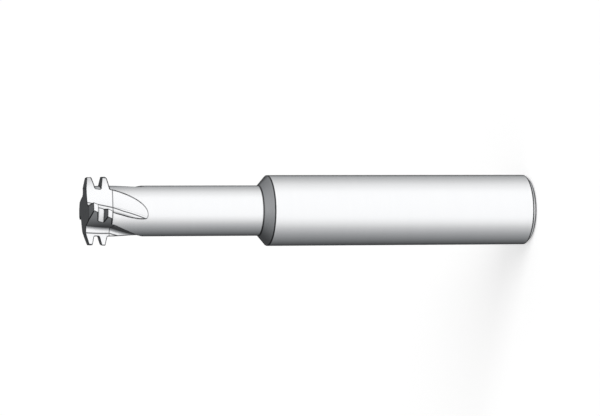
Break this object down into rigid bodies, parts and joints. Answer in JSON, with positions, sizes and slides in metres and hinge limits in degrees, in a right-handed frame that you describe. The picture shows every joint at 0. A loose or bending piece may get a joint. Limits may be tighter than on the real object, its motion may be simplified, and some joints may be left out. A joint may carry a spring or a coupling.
{
  "type": "thread mill",
  "caption": "Solid thread mill with a plain round shank, a slimmer neck and a short helically fluted head that carries rows of trapezoidal thread teeth.",
  "frame": {"origin": "centre of the shank's flat end face, which the tool stands on", "axes": "+Z along the tool's axis of rotation, from the shank to the cutting end; +X and +Y lie across the axis, with the nearest cutting edges of the front face 17 degrees ahead of each of them"},
  "size_m": [0.01, 0.01, 0.065],
  "materials": {
    "carbide": "finely ground and bright, with grinding lines round the shank and along the flutes"
  },
  "bodies": {
    "root": {"thread_mill": "carbide"}
  },
  "joints": []
}
